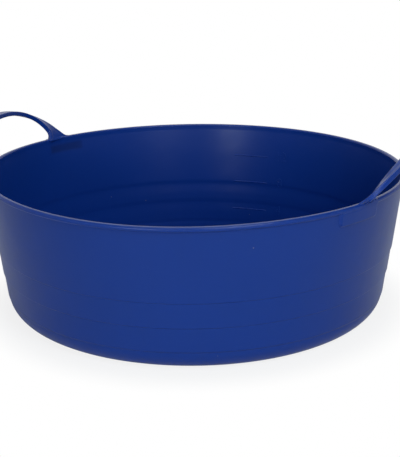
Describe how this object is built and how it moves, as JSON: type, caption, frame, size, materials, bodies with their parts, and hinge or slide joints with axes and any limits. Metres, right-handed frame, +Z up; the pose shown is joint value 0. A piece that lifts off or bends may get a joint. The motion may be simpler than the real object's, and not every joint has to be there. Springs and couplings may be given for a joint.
{
  "type": "flexible bucket",
  "caption": "Shallow round flexible tub with a beaded rim, a stepped tapered wall, inside level marks and an upright flexible strap handle on each side.",
  "frame": {"origin": "middle of the ring face that the tub rests on", "axes": "+X towards the right handle, +Y towards the inside level marks, +Z up out of the mouth"},
  "size_m": [0.4598, 0.4198, 0.1787],
  "materials": {
    "tub": "satin moulded polyethylene",
    "rim": "satin moulded polyethylene",
    "foot": "satin moulded polyethylene",
    "grip": "satin moulded polyethylene",
    "mark": "satin moulded polyethylene"
  },
  "bodies": {
    "tub": {"tub_shell": "tub", "rim_bead": "rim", "foot_pad_right_front": "foot", "foot_pad_right_back": "foot", "foot_pad_left_front": "foot", "foot_pad_left_back": "foot", "handle_root_right_front": "foot", "handle_root_right_back": "foot", "handle_root_left_front": "foot", "handle_root_left_back": "foot", "level_mark_low": "mark", "level_mark_mid": "mark", "level_mark_high": "mark"},
    "grip_right": {"handle_grip_right": "grip"},
    "grip_left": {"handle_grip_left": "grip"}
  },
  "joints": [
    {"name": "handle_right_bend", "type": "hinge", "parent": "tub", "child": "grip_right", "pos_m": [0.20118, 0, 0.1465], "axis": [0, -1, 0], "range_deg": [-35, 60], "stiffness_Nm_per_rad": 0.6},
    {"name": "handle_left_bend", "type": "hinge", "parent": "tub", "child": "grip_left", "pos_m": [-0.20118, 0, 0.1465], "axis": [0, 1, 0], "range_deg": [-35, 60], "stiffness_Nm_per_rad": 0.6}
  ]
}
